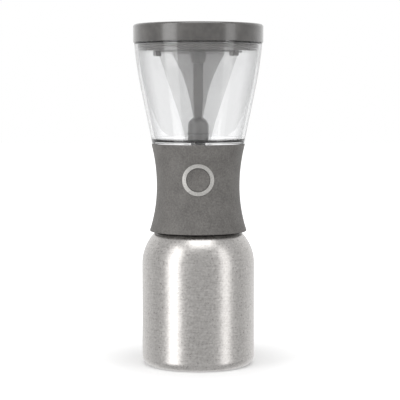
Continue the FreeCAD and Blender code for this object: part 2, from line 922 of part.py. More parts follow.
def release_lever():
    """The bell crank: the stem pushes its lower arm and its upper arm lifts the valve."""
    half = arm_w / 2
    hub = cross_rod(lever_hub_r, -half, half, pivot_z, "x")
    web_half = half - 0.8
    pieces = []
    for end_y, end_z in ((pivot_y, button_z), (0, pivot_z)):
        nose = Part.makeCylinder(nose_r, 2 * half, Vector(-half, end_y, end_z), Vector(1, 0, 0))
        pieces.append(nose)
    lower = Part.makeBox(2 * web_half, 2 * push_arm_half, push_arm,
                         Vector(-web_half, pivot_y - push_arm_half, button_z))
    upper = Part.makeBox(2 * web_half, lift_arm, 2 * nose_r, Vector(-web_half, pivot_y, pivot_z - nose_r))
    gusset_corners = [
        Vector(-web_half / 2, pivot_y, pivot_z - push_arm / 2),
        Vector(-web_half / 2, pivot_y + lift_arm / 2, pivot_z),
        Vector(-web_half / 2, pivot_y, pivot_z),
        Vector(-web_half / 2, pivot_y, pivot_z - push_arm / 2),
    ]
    gusset = Part.Face(Part.makePolygon(gusset_corners)).extrude(Vector(web_half, 0, 0))
    body = hub.fuse(pieces + [lower, upper, gusset])
    return body.cut(cross_rod(pin_r + running_fit, -half - 1, half + 1, pivot_z, "x")).removeSplitter()


def lid_cap():
    """The cap: skirt over the chamber's neck and a shallow dished top."""
    low = chamber_top_z + lid_gap
    under = rim_z + plug_flange_h + plug_seat_gap
    top = under + lid_top
    dish_r = lid_r - lid_dish_in
    return turned([
        (lid_r, low, 0.3),
        (lid_r, top, lid_round),
        (dish_r, top, 0.3),
        (dish_r - 2 * lid_dish_h, top - lid_dish_h, 0.3),
        (0, top - lid_dish_h),
        (0, under),
        (lid_r - lid_skirt_wall, under),
        (lid_r - lid_skirt_wall, low),
    ])


def plug_r():
    """Outside of the plug in the chamber's neck."""
    return neck_bore_r() - plug_gap


def lid_plug():
    """The cup that drops into the neck, with the flange that rests on the rim."""
    low = plug_bottom_z
    outer = plug_r()
    flange_low = rim_z + plug_seat_gap
    top = flange_low + plug_flange_h
    groove = low + lid_gasket_rise
    return turned([
        (0, low),
        (outer, low, 0.6),
        (outer, groove),
        (outer - lid_gasket_groove, groove),
        (outer - lid_gasket_groove, groove + lid_gasket_h),
        (outer, groove + lid_gasket_h),
        (outer, flange_low),
        (neck_outside_r(), flange_low),
        (neck_outside_r(), top),
        (outer - plug_wall - lid_gasket_groove, top),
        (outer - plug_wall - lid_gasket_groove, low + plug_wall, 2),
        (0, low + plug_wall),
    ])


def lid_gasket():
    """The soft ring with two lips that seals the plug in the chamber."""
    low = plug_bottom_z + lid_gasket_rise
    inner = plug_r() - lid_gasket_groove
    lip = neck_bore_r() - gasket_lip_gap
    mid = low + lid_gasket_h / 2
    quarter = lid_gasket_h / 4
    return turned([
        (inner, low),
        (plug_r() - 0.2, low),
        (lip, low + quarter),
        (plug_r() - 0.2, mid),
        (lip, mid + quarter),
        (plug_r() - 0.2, low + lid_gasket_h),
        (inner, low + lid_gasket_h),
    ])


def filter_hub():
    """The tapered boss under the plug that carries the filter's stem."""
    top = plug_bottom_z
    return turned([
        (0, top - hub_h),
        (hub_tip_r, top - hub_h, hub_round),
        (hub_r, top),
        (0, top),
    ])


def cone_tip_z():
    """Height of the filter cone's lower end, in the filter's foot."""
    return drain_base_z - drain_gasket_h + cone_tip_rise


def mesh_cone(tip_r, tip_z, straight_h, low_angle, flare_r, high_angle, top):
    """A thin flared cone: straight at its foot, then an arc, then straight again."""
    low = math.radians(low_angle)
    high = math.radians(high_angle)
    bend = (tip_r + straight_h * math.tan(low), tip_z + straight_h)
    centre = (bend[0] + flare_r * math.cos(low), bend[1] - flare_r * math.sin(low))
    turn = (centre[0] - flare_r * math.cos(high), centre[1] + flare_r * math.sin(high))
    mouth_r = turn[0] + (top - turn[1]) * math.tan(high)
    inside = flare_r + mesh_wall
    inner_turn = (centre[0] - inside * math.cos(high), centre[1] + inside * math.sin(high))
    inner_bend = (centre[0] - inside * math.cos(low), centre[1] + inside * math.sin(low))
    outline = Outline(tip_r, tip_z)
    if straight_h:
        outline.line(*bend)
    outline.arc(centre, *turn)
    outline.line(mouth_r, top)
    outline.line(mouth_r - mesh_wall / math.cos(high), top)
    outline.line(*inner_turn)
    outline.arc(centre, *inner_bend)
    if straight_h:
        outline.line(tip_r - mesh_wall / math.cos(low), tip_z)
    return outline.solid(), mouth_r


def rim_low_z():
    """Underside of the ring that joins the two cones."""
    return plug_bottom_z - rim_h


def inner_cone():
    """The fine inner cone that drains into the foot, and its mouth's radius."""
    return mesh_cone(cone_tip_r, cone_tip_z(), cone_straight_h, cone_foot_angle,
                     cone_flare_r, cone_mouth_angle, rim_low_z())


def outer_cone():
    """The wider cone that keeps the grounds off the fine one, and its mouth's radius."""
    return mesh_cone(screen_foot_r, floor_z + screen_foot_rise, 0, screen_foot_angle,
                     screen_flare_r, screen_mouth_angle, rim_low_z())


def filter_rim():
    """The ring under the plug that holds both cones by their mouths."""
    inner = inner_cone()[1] - mesh_wall - rim_land
    outer = outer_cone()[1] + rim_flange
    return ring(inner, outer, rim_low_z(), plug_bottom_z, 0.3)


def rim_clips():
    """Three hooks under the plug that the filter's rim turns into."""
    outer = outer_cone()[1] + rim_flange + clip_gap
    inner = outer_cone()[1] + 0.5
    low = rim_low_z() - clip_gap
    clips = []
    for i in range(clip_count):
        leg = Part.makeBox(clip_leg, clip_w, plug_bottom_z - low, Vector(outer, -clip_w / 2, low))
        foot = Part.makeBox(outer + clip_leg - inner, clip_w, clip_foot_h,
                            Vector(inner, -clip_w / 2, low - clip_foot_h))
        clip = leg.fuse(foot).removeSplitter()
        lower = [e for e in clip.Edges if e.BoundBox.ZMax < low - clip_foot_h + 0.01]
        clip = clip.makeFillet(1.2, lower)
        clip.rotate(Vector(0, 0, 0), Vector(0, 0, 1), clip_turn + 360 * i / clip_count)
        clips.append(clip)
    return Part.makeCompound(clips)


def filter_stem():
    """The cross-ribbed bar that ties the hub to the filter's foot."""
    top = plug_bottom_z - hub_h
    taper_top = cone_tip_z() + stem_tip_rise
    low = cone_tip_z() - stem_foot_in
    ribs = []
    for across in ("x", "y"):
        corners = [
            (stem_span, top), (stem_span, taper_top), (stem_tip_span, cone_tip_z()),
            (stem_tip_span, low), (-stem_tip_span, low), (-stem_tip_span, cone_tip_z()),
            (-stem_span, taper_top), (-stem_span, top), (stem_span, top),
        ]
        if across == "x":
            face = Part.Face(Part.makePolygon([Vector(a, -stem_rib / 2, z) for a, z in corners]))
            ribs.append(face.extrude(Vector(0, stem_rib, 0)))
        else:
            face = Part.Face(Part.makePolygon([Vector(-stem_rib / 2, a, z) for a, z in corners]))
            ribs.append(face.extrude(Vector(stem_rib, 0, 0)))
    return ribs[0].fuse(ribs[1]).removeSplitter()


def filter_foot():
    """The upper half of the dome, which covers the standpipe's neck."""
    low = seam_z + bell_gap
    round_z = seam_z + drain_neck_h
    inner_r = drain_neck_r + bell_fit
    hole_r = cone_tip_r + foot_socket * math.tan(math.radians(cone_foot_angle)) + running_fit
    inner_round = drain_r - bell_wall
    outer_top = round_z + math.sqrt(drain_r**2 - hole_r**2)
    inner_top = round_z + bell_fit + math.sqrt(inner_round**2 - hole_r**2)
    outline = Outline(inner_r, low)
    outline.line(drain_r, low)
    outline.line(drain_r, round_z)
    outline.arc((0, round_z), hole_r, outer_top)
    outline.line(hole_r, inner_top)
    outline.arc((0, round_z + bell_fit), inner_round, round_z + bell_fit)
    outline.line(inner_r, round_z + bell_fit)
    return outline.solid()


PIECES = {
    "carafe_outer_shell": carafe_outer_shell,
    "carafe_inner_shell": carafe_inner_shell,
    "carafe_base_plate": carafe_base_plate,
    "vacuum_seal_bead": vacuum_seal_bead,
    "vacuum_getter": vacuum_getter,
    "neck_gasket": neck_gasket,
    "collar_core": collar_core,
    "grip_sleeve": grip_sleeve,
    "core_screws": core_screws,
    "button_bezel": button_bezel,
    "brew_chamber": brew_chamber,
    "chamber_seal": chamber_seal,
    "drain_standpipe": drain_standpipe,
    "drain_gasket": drain_gasket,
    "drain_nut": drain_nut,
    "stem_guide": stem_guide,
    "drain_o_ring": drain_o_ring,
    "valve_stem": valve_stem,
    "valve_seal": valve_seal,
    "valve_foot": valve_foot,
    "valve_spring": valve_spring,
    "button_cap": button_cap,
    "button_stem": button_stem,
    "button_clip": button_clip,
    "button_seal": button_seal,
    "button_spring": button_spring,
    "lever_pin": lever_pin,
    "release_lever": release_lever,
    "lid_cap": lid_cap,
    "lid_plug": lid_plug,
    "lid_gasket": lid_gasket,
    "filter_hub": filter_hub,
    "filter_cone": lambda: inner_cone()[0],
    "filter_screen": lambda: outer_cone()[0],
    "filter_rim": filter_rim,
    "rim_clips": rim_clips,
    "filter_stem": filter_stem,
    "filter_foot": filter_foot,
}


def main():
    """Build every piece and write it to its own file."""
    os.makedirs("parts", exist_ok=True)
    for name, make in PIECES.items():
        shape = make()
        shape.exportStep("parts/" + name + ".step")
        print(name, len(shape.Solids), round(shape.Volume, 1), shape.isValid())


main()
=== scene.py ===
# %% [markdown]
# # A cold brew coffee maker in grey plastic, clear plastic and brushed steel
# The frame holds every hard piece at its real size. This lesson dresses the pieces:
# it gives each one the finish that it has on the real object, adds the screw threads
# that the frame leaves plain, and lights the whole as a product picture on white.

# %% Load the frame
import math

import bpy
import json
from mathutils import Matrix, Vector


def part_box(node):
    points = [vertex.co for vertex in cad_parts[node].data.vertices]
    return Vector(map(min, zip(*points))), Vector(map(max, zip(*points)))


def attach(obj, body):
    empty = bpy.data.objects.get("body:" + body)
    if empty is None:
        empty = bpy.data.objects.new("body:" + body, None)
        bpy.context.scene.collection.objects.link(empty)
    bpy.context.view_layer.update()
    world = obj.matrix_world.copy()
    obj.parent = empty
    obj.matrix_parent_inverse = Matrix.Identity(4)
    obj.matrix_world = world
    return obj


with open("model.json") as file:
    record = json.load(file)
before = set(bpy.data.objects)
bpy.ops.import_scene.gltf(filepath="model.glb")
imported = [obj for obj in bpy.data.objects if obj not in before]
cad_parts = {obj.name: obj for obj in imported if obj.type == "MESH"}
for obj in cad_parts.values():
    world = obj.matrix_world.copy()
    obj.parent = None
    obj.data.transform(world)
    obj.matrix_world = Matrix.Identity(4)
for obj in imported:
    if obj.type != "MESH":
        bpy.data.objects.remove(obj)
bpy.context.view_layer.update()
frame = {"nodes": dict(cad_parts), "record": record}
print("pieces in the frame:", len(frame["nodes"]))

# %% [markdown]
# ## How the materials are built
# Every finish is a Principled shader, to which only the clear plastic adds another. The
# pattern is worked out from the object's own coordinates, so it sticks to the piece when
# the piece moves. One metre is one unit, so a noise scale of 1000 makes grains of about a
# millimetre. Small helpers keep the recipes short enough to read. The first ones start a
# material and do arithmetic in it.

# %% Helpers that start a material
finishes = {}


def new_material(name):
    """An empty node material, the tree to add to, and its shader."""
    material = bpy.data.materials.new(name)
    material.use_nodes = True
    tree = material.node_tree
    shader = tree.nodes["Principled BSDF"]
    return material, tree, shader


def coordinates(tree, scale=(1, 1, 1)):
    """The object's own coordinates, stretched where a pattern runs one way."""
    source = tree.nodes.new("ShaderNodeTexCoord")
    mapping = tree.nodes.new("ShaderNodeMapping")
    mapping.inputs["Scale"].default_value = scale
    tree.links.new(source.outputs["Object"], mapping.inputs["Vector"])
    return mapping.outputs["Vector"]


def maths(tree, operation, first, second=None):
    """One step of arithmetic on node sockets or plain numbers."""
    node = tree.nodes.new("ShaderNodeMath")
    node.operation = operation
    for socket, value in zip(node.inputs, (first, second)):
        if value is None:
            continue
        if isinstance(value, (int, float)):
            socket.default_value = value
        else:
            tree.links.new(value, socket)
    return node.outputs["Value"]


print("helpers start a Principled material")

# %% [markdown]
# The second set of helpers makes patterns. A noise is a cloud of greys between 0 and 1,
# most of it between 0.3 and 0.7. Two noises can be blended, and the result can choose a
# colour, set the roughness, or lift the surface a little.

# %% Helpers that make patterns
NOISE_RANGE = (0.3, 0.7)


def noise(tree, vector, scale, detail=3.0, rough=0.55):
    """A cloudy pattern from 0 to 1."""
    node = tree.nodes.new("ShaderNodeTexNoise")
    node.inputs["Scale"].default_value = scale
    node.inputs["Detail"].default_value = detail
    node.inputs["Roughness"].default_value = rough
    tree.links.new(vector, node.inputs["Vector"])
    return node.outputs["Fac"]


def blend(tree, first, second, share):
    """Two patterns mixed, with the second one's share from 0 to 1."""
    node = tree.nodes.new("ShaderNodeMix")
    node.inputs["Factor"].default_value = share
    tree.links.new(first, node.inputs["A"])
    tree.links.new(second, node.inputs["B"])
    return node.outputs["Result"]


def ramp(tree, factor, ends, dark, light):
    """Two colours blended where a pattern goes from one end to the other."""
    node = tree.nodes.new("ShaderNodeValToRGB")
    for element, position, colour in zip(node.color_ramp.elements, ends, (dark, light)):
        element.position = position
        element.color = (*colour, 1)
    tree.links.new(factor, node.inputs["Fac"])
    return node.outputs["Color"]


def spread(tree, value, target, source=NOISE_RANGE):
    """A number between the two source values turned into one between the two targets."""
    node = tree.nodes.new("ShaderNodeMapRange")
    node.inputs["From Min"].default_value = source[0]
    node.inputs["From Max"].default_value = source[1]
    node.inputs["To Min"].default_value = target[0]
    node.inputs["To Max"].default_value = target[1]
    tree.links.new(value, node.inputs["Value"])
    return node.outputs["Result"]


def bump(tree, shader, height, distance, strength):
    """Small relief from a pattern, its depth in metres."""
    node = tree.nodes.new("ShaderNodeBump")
    node.inputs["Distance"].default_value = distance
    node.inputs["Strength"].default_value = strength
    tree.links.new(height, node.inputs["Height"])
    tree.links.new(node.outputs["Normal"], shader.inputs["Normal"])


print("patterns are spread from the range", NOISE_RANGE)

# %% [markdown]
# ## The soft grip
# The collar is covered in a soft rubber with a pebbled touch: broad cloudy patches where
# hands have polished it, and fine grains that catch the light. A flat grey would look
# like card. Two noises, one wide and one fine, make the colour, and the fine one also
# lifts the surface, because real grains show in the highlights as well as in the colour.

# %% Soft grip finish
GRIP_DARK = (0.088, 0.083, 0.078)
GRIP_LIGHT = (0.19, 0.182, 0.172)
GRIP_ENDS = (0.36, 0.66)
GRIP_PATCH_SCALE = 55
GRIP_GRAIN_SCALE = 620
GRIP_GRAIN_SHARE = 0.62
GRIP_ROUGHNESS = (0.48, 0.66)
GRIP_RELIEF = 0.0007


def soft_grip():
    """Dark grey rubber with a pebbled surface."""
    material, tree, shader = new_material("soft_grip")
    place = coordinates(tree)
    patches = noise(tree, place, GRIP_PATCH_SCALE, detail=4)
    grains = noise(tree, place, GRIP_GRAIN_SCALE, detail=3, rough=0.6)
    both = blend(tree, patches, grains, GRIP_GRAIN_SHARE)
    tree.links.new(ramp(tree, both, GRIP_ENDS, GRIP_DARK, GRIP_LIGHT), shader.inputs["Base Color"])
    tree.links.new(spread(tree, grains, GRIP_ROUGHNESS), shader.inputs["Roughness"])
    bump(tree, shader, grains, GRIP_RELIEF, strength=0.7)
    return material


finishes["soft_grip"] = soft_grip()
print("finish:", finishes["soft_grip"].name)

# %% [markdown]
# ## The dark plastic
# Lid, hub, clips and drain are moulded in one dark grey plastic with a satin skin. A
# moulded skin is never quite even, so a cloud about a centimetre wide varies the colour
# and the gloss. A fine noise lifts the surface a little, as the spark-eroded grain does
# that hides fingerprints. The photograph shows a clear highlight on the lid, which a thin
# coat over the satin skin gives.

# %% Dark plastic finish
PLASTIC_DARK = (0.056, 0.053, 0.05)
PLASTIC_LIGHT = (0.092, 0.087, 0.082)
PLASTIC_ENDS = (0.35, 0.7)
PLASTIC_CLOUD_SCALE = 90
PLASTIC_GRAIN_SCALE = 1500
PLASTIC_ROUGHNESS = (0.19, 0.27)
PLASTIC_GLOSS = 0.85
PLASTIC_COAT = 0.5
PLASTIC_COAT_ROUGHNESS = 0.12
PLASTIC_RELIEF = 0.0002


def dark_plastic():
    """Moulded satin plastic, warm dark grey."""
    material, tree, shader = new_material("dark_plastic")
    place = coordinates(tree)
    cloud = noise(tree, place, PLASTIC_CLOUD_SCALE, detail=4)
    grain = noise(tree, place, PLASTIC_GRAIN_SCALE, detail=2)
    colour = ramp(tree, cloud, PLASTIC_ENDS, PLASTIC_DARK, PLASTIC_LIGHT)
    tree.links.new(colour, shader.inputs["Base Color"])
    tree.links.new(spread(tree, cloud, PLASTIC_ROUGHNESS), shader.inputs["Roughness"])
    shader.inputs["Specular IOR Level"].default_value = PLASTIC_GLOSS
    shader.inputs["Coat Weight"].default_value = PLASTIC_COAT
    shader.inputs["Coat Roughness"].default_value = PLASTIC_COAT_ROUGHNESS
    bump(tree, shader, grain, PLASTIC_RELIEF, strength=0.18)
    return material


finishes["dark_plastic"] = dark_plastic()
print("finish:", finishes["dark_plastic"].name)

# %% [markdown]
# ## The steel
# The carafe is brushed round its axis: the marks are long across and very short up and
# down. Stretching the coordinates before the noise makes such marks. A second, even
# noise is the fine grain of a satin finish, which breaks up the reflections. An
# anisotropic shader could do this too, but it needs a direction on each piece, and the
# stretched noise needs none.

# %% Brushed steel finish
STEEL_DARK = (0.4, 0.385, 0.372)
STEEL_LIGHT = (0.64, 0.622, 0.604)
STEEL_ENDS = (0.36, 0.64)
STEEL_MARK_STRETCH = (1, 1, 26)
STEEL_MARK_SCALE = 70
STEEL_GRAIN_SCALE = 480
STEEL_GRAIN_SHARE = 0.6
STEEL_ROUGHNESS = (0.25, 0.36)
STEEL_RELIEF = 0.0004


def brushed_steel():
    """Satin steel with a fine grain and short marks round the body."""
    material, tree, shader = new_material("brushed_steel")
    marks = noise(tree, coordinates(tree, STEEL_MARK_STRETCH), STEEL_MARK_SCALE, detail=4, rough=0.65)
    grain = noise(tree, coordinates(tree), STEEL_GRAIN_SCALE, detail=3, rough=0.65)
    both = blend(tree, marks, grain, STEEL_GRAIN_SHARE)
    tree.links.new(ramp(tree, both, STEEL_ENDS, STEEL_DARK, STEEL_LIGHT), shader.inputs["Base Color"])
    shader.inputs["Metallic"].default_value = 1.0
    tree.links.new(spread(tree, both, STEEL_ROUGHNESS), shader.inputs["Roughness"])
    bump(tree, shader, both, STEEL_RELIEF, strength=0.1)
    return material


finishes["brushed_steel"] = brushed_steel()
print("finish:", finishes["brushed_steel"].name)

# %% [markdown]
# ## The satin ring
# The ring round the button is pale satin metal, brighter and flatter than the steel. A
# full metal would turn dark wherever it mirrors the dim front of the room. A half
# metallic shader keeps the ring pale from every side, and the photograph shows it pale.

# %% Satin metal finish
RING_DARK = (0.4, 0.39, 0.375)
RING_LIGHT = (0.53, 0.52, 0.5)
RING_ENDS = (0.35, 0.65)
RING_GRAIN_SCALE = 900
RING_METALLIC = 0.45
RING_ROUGHNESS = (0.36, 0.46)
RING_RELIEF = 0.0002


def satin_metal():
    """Pale satin metal."""
    material, tree, shader = new_material("satin_metal")
    grain = noise(tree, coordinates(tree), RING_GRAIN_SCALE, detail=3)
    tree.links.new(ramp(tree, grain, RING_ENDS, RING_DARK, RING_LIGHT), shader.inputs["Base Color"])
    shader.inputs["Metallic"].default_value = RING_METALLIC
    tree.links.new(spread(tree, grain, RING_ROUGHNESS), shader.inputs["Roughness"])
    bump(tree, shader, grain, RING_RELIEF, strength=0.3)
    return material


finishes["satin_metal"] = satin_metal()
print("finish:", finishes["satin_metal"].name)

# %% [markdown]
# ## The spring wire
# Springs, pins and screws sit inside and are bright drawn wire. They are too thin for
# relief to show, so a fine noise in the colour and the roughness is enough.

# %% Spring steel finish
WIRE_DARK = (0.62, 0.61, 0.6)
WIRE_LIGHT = (0.8, 0.79, 0.78)
WIRE_ENDS = (0.3, 0.7)
WIRE_GRAIN_SCALE = 1400
WIRE_ROUGHNESS = (0.18, 0.28)


def spring_steel():
    """Bright drawn wire."""
    material, tree, shader = new_material("spring_steel")
    grain = noise(tree, coordinates(tree), WIRE_GRAIN_SCALE, detail=2)
    tree.links.new(ramp(tree, grain, WIRE_ENDS, WIRE_DARK, WIRE_LIGHT), shader.inputs["Base Color"])
    shader.inputs["Metallic"].default_value = 1.0
    tree.links.new(spread(tree, grain, WIRE_ROUGHNESS), shader.inputs["Roughness"])
    return material


finishes["spring_steel"] = spring_steel()
print("finish:", finishes["spring_steel"].name)

# %% [markdown]
# ## Silicone, and the joint ring's painted shade
# The gaskets and rings are plain grey silicone, which is matt and slightly dusty. The
# ring that shows in the dome's joint is nearly black, and that colour is painted shade
# for the gap of the joint. Both are one recipe with other colours, so one function makes
# them both.

# %% Silicone finish and the joint ring's painted shade
RUBBER_ENDS = (0.35, 0.7)


def rubber(name, dust_scale, detail, colours, roughness):
    """Matt rubber with a dusty skin, between two colours."""
    material, tree, shader = new_material(name)
    dust = noise(tree, coordinates(tree), dust_scale, detail)
    tree.links.new(ramp(tree, dust, RUBBER_ENDS, *colours), shader.inputs["Base Color"])
    tree.links.new(spread(tree, dust, roughness), shader.inputs["Roughness"])
    return material


SILICONE_COLOURS = ((0.16, 0.155, 0.15), (0.22, 0.215, 0.21))
# The joint ring's near-black colours are painted shade of the gap in the dome's joint.
JOINT_SHADE_COLOURS = ((0.02, 0.019, 0.018), (0.035, 0.034, 0.033))
finishes["silicone"] = rubber(
    "silicone", dust_scale=240, detail=4, colours=SILICONE_COLOURS, roughness=(0.5, 0.62))
joint_painted_shade = rubber(
    "seam_painted_shade", dust_scale=300, detail=3, colours=JOINT_SHADE_COLOURS, roughness=(0.4, 0.55))
print("finishes:", finishes["silicone"].name, joint_painted_shade.name)

# %% [markdown]
# ## The clear chamber
# The vessel is clear moulded plastic. A glass-like shader refracts what is behind it, and
# its tint is darkened where the wall is seen edge on. That darkening is painted shade,
# which stands in for the dark lines that refraction draws at a clear wall's edges.
# Real clear plastic lets light in to the filter, but a renderer treats a refracting wall
# as a solid blocker of lamp light, so the wall is simply see-through for shadow rays.

# %% Clear plastic finish
CLEAR_FACE = (0.9, 0.902, 0.905)
# The edge colour is painted shade: it stands in for the dark lines at a clear wall's edges.
CLEAR_EDGE_SHADE = (0.12, 0.122, 0.125)
CLEAR_ENDS = (0.35, 1.0)
CLEAR_EDGE_SHADE_BLEND = 0.5
CLEAR_IOR = 1.42
CLEAR_ROUGHNESS = (0.0, 0.04)
CLEAR_RIPPLE_SCALE = 35
CLEAR_SHADOW = (0.93, 0.93, 0.93, 1)


def clear_plastic():
    """Clear, faintly grey moulded plastic, with painted shade where it is seen edge on."""
    material, tree, shader = new_material("clear_plastic")
    ripple = noise(tree, coordinates(tree), CLEAR_RIPPLE_SCALE, detail=2)
    # The tint darkens where the wall is seen edge on, which is painted shade.
    edge = tree.nodes.new("ShaderNodeLayerWeight")
    edge.inputs["Blend"].default_value = CLEAR_EDGE_SHADE_BLEND
    tint_with_edge_shade = ramp(tree, edge.outputs["Facing"], CLEAR_ENDS, CLEAR_FACE, CLEAR_EDGE_SHADE)
    tree.links.new(tint_with_edge_shade, shader.inputs["Base Color"])
    shader.inputs["Transmission Weight"].default_value = 1.0
    shader.inputs["IOR"].default_value = CLEAR_IOR
    tree.links.new(spread(tree, ripple, CLEAR_ROUGHNESS), shader.inputs["Roughness"])
    let_light_through(tree, shader)
    return material


def let_light_through(tree, shader):
    """See-through for shadow rays, and the shader itself for all others."""
    path = tree.nodes.new("ShaderNodeLightPath")
    pass_through = tree.nodes.new("ShaderNodeBsdfTransparent")
    pass_through.inputs["Color"].default_value = CLEAR_SHADOW
    mix = tree.nodes.new("ShaderNodeMixShader")
    output = tree.nodes["Material Output"]
    tree.links.new(path.outputs["Is Shadow Ray"], mix.inputs["Fac"])
    tree.links.new(shader.outputs["BSDF"], mix.inputs[1])
    tree.links.new(pass_through.outputs["BSDF"], mix.inputs[2])
    tree.links.new(mix.outputs["Shader"], output.inputs["Surface"])


finishes["clear_plastic"] = clear_plastic()
print("finish:", finishes["clear_plastic"].name)

# %% [markdown]
# ## The filter mesh
# Woven steel mesh is mostly air. From a step away it reads as a grey veil, and close up
# as crossed wires. Modelling each wire would cost millions of faces for a thing finer
# than a pixel. The weave runs round the cone and up it, so the pattern is made from
# the angle and the height, and it drives the shader's alpha: wires are more solid than
# the holes between them.

# %% Woven mesh finish
MESH_WIRES_ROUND = 90.0
MESH_WIRE_PITCH = 0.0011
MESH_CLOUD_SCALE = 140
MESH_ENDS = (0.3, 0.7)
MESH_SHADE = 0.75
MESH_METALLIC = 0.2
MESH_ROUGHNESS = 0.5


def weave(tree):
    """Crossed wires from 0 in a hole to 1 on a wire, by angle and by height."""
    source = tree.nodes.new("ShaderNodeTexCoord")
    split = tree.nodes.new("ShaderNodeSeparateXYZ")
    tree.links.new(source.outputs["Object"], split.inputs["Vector"])
    angle = maths(tree, "ARCTAN2", split.outputs["Y"], split.outputs["X"])
    across = maths(tree, "SINE", maths(tree, "MULTIPLY", angle, MESH_WIRES_ROUND))
    turns_up = maths(tree, "MULTIPLY", split.outputs["Z"], 2 * math.pi / MESH_WIRE_PITCH)
    up = maths(tree, "SINE", turns_up)
    both = maths(tree, "MAXIMUM", across, up)
    return maths(tree, "MAXIMUM", both, 0.0)


def mesh_veil(name, hole, wire, colour):
    """Woven mesh: how solid its holes and its wires look, and its colour."""
    material, tree, shader = new_material(name)
    threads = weave(tree)
    cloud = noise(tree, coordinates(tree), MESH_CLOUD_SCALE, detail=3)
    dark = tuple(MESH_SHADE * c for c in colour)
    tree.links.new(ramp(tree, cloud, MESH_ENDS, dark, colour), shader.inputs["Base Color"])
    shader.inputs["Metallic"].default_value = MESH_METALLIC
    shader.inputs["Roughness"].default_value = MESH_ROUGHNESS
    alpha = spread(tree, threads, (hole, wire), source=(0.0, 1.0))
    tree.links.new(alpha, shader.inputs["Alpha"])
    return material


fine_mesh = mesh_veil("fine_mesh", hole=0.12, wire=0.34, colour=(0.2, 0.19, 0.18))
open_mesh = mesh_veil("open_mesh", hole=0.05, wire=0.17, colour=(0.3, 0.3, 0.3))
own_finish = {"filter_cone": fine_mesh, "filter_screen": open_mesh}
print("meshes:", fine_mesh.name, open_mesh.name)

# %% [markdown]
# ## Dress the pieces of the frame
# The record names a finish for each piece. A dictionary turns that name into a material,
# and the two cones get their own: the inner one is a dense dark mesh, and the outer one
# so open that it is only just seen.

# %% Give every piece its finish
for part in frame["record"]["subparts"]:
    name = part["node"]
    piece = frame["nodes"][name]
    finish = own_finish.get(name) or finishes[part["material_slot"]]
    piece.data.materials.clear()
    piece.data.materials.append(finish)
print("finishes:", len(finishes) + len(own_finish))

# %% [markdown]
# ## Screw threads
# The collar screws on to the carafe's neck. A thread is one profile swept up a helix. It
# could be drawn as a curve with a bevel, but the Screw modifier turns and lifts a flat
# profile at once and keeps its crest upright. The profile starts as a plane stood beside
# the axis, and its edge away from the wall is then narrowed to the crest. The ridge
# inside the collar is the same thread half a pitch higher. The modifier leaves the ends
# of a ridge open, and here they stay so. Real crests overlap and hold the collar. These
# pass each other with a small gap, because the collar's lift in the frame is a straight one.

# %% Helpers for selecting
WELD = 0.000001


def deselect_all():
    """Nothing selected, so that an operator only meets what it is given."""
    if bpy.context.object and bpy.context.object.mode != "OBJECT":
        bpy.ops.object.mode_set(mode="OBJECT")
    bpy.ops.object.select_all(action="DESELECT")


def edit_points(piece, wanted):
    """Edit mode with only the points selected that the test wants."""
    bpy.ops.object.mode_set(mode="EDIT")
    bpy.ops.mesh.select_all(action="DESELECT")
    bpy.ops.object.mode_set(mode="OBJECT")
    for vertex in piece.data.vertices:
        vertex.select = wanted(vertex.co)
    bpy.ops.object.mode_set(mode="EDIT")


def weld_and_turn_out():
    """Doubles merged and all faces outward, then back to object mode."""
    bpy.ops.object.mode_set(mode="EDIT")
    bpy.ops.mesh.select_all(action="SELECT")
    bpy.ops.mesh.remove_doubles(threshold=WELD)
    bpy.ops.mesh.normals_make_consistent(inside=False)
    bpy.ops.object.mode_set(mode="OBJECT")


print("doubles are merged within", WELD, "m")

# %% [markdown]
# A profile has a foot, a little inside the wall so that no gap shows, and a crest. Its
# size is that of a coarse thread for plastic, which a hand can start without looking.

# %% Make a thread
THREAD_PITCH = 0.005
THREAD_TURNS = 2.5
THREAD_STEPS = 72
THREAD_HEIGHT = 0.0007
THREAD_BASE = 0.0022
THREAD_CREST = 0.0011
THREAD_SINK = 0.0002
THREAD_SMOOTH = math.radians(30)


def thread_profile(name, foot, crest, start_z):
    """The thread's cross-section, stood beside the axis from foot to crest."""
    deselect_all()
    bpy.ops.mesh.primitive_plane_add(
        size=1, location=((foot + crest) / 2, 0, start_z), rotation=(math.pi / 2, 0, 0))
    ridge = bpy.context.object
    ridge.name = name
    ridge.scale = (abs(crest - foot), THREAD_BASE, 1)
    bpy.ops.object.transform_apply(location=True, rotation=True, scale=True)
    edit_points(ridge, lambda place: abs(place.x - crest) < WELD)
    bpy.ops.transform.resize(
        value=(1, 1, THREAD_CREST / THREAD_BASE), center_override=(crest, 0, start_z))
    bpy.ops.object.mode_set(mode="OBJECT")
    return ridge


def thread_ridge(name, root_r, out, start_z, finish, body):
    """A helical ridge on a wall of radius root_r, pointing out (1) or in (-1)."""
    ridge = thread_profile(name, root_r - out * THREAD_SINK, root_r + out * THREAD_HEIGHT, start_z)
    screw = ridge.modifiers.new("helix", "SCREW")
    screw.angle = 2 * math.pi * THREAD_TURNS
    screw.screw_offset = THREAD_PITCH * THREAD_TURNS
    screw.steps = int(THREAD_STEPS * THREAD_TURNS)
    screw.render_steps = screw.steps
    bpy.ops.object.modifier_apply(modifier="helix")
    weld_and_turn_out()
    bpy.ops.object.shade_smooth_by_angle(angle=THREAD_SMOOTH)
    ridge.data.materials.append(finish)
    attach(ridge, body)
    print(name, "faces:", len(ridge.data.polygons))
    return ridge


# %% [markdown]
# The neck's radius and top are read from the gasket that sits on the neck's rim and
# reaches a little past it.

# %% Threads on the neck and in the collar
GASKET_OVERHANG = 0.0006
THREAD_ROOM = 0.0016
THREAD_DROP = 0.0185

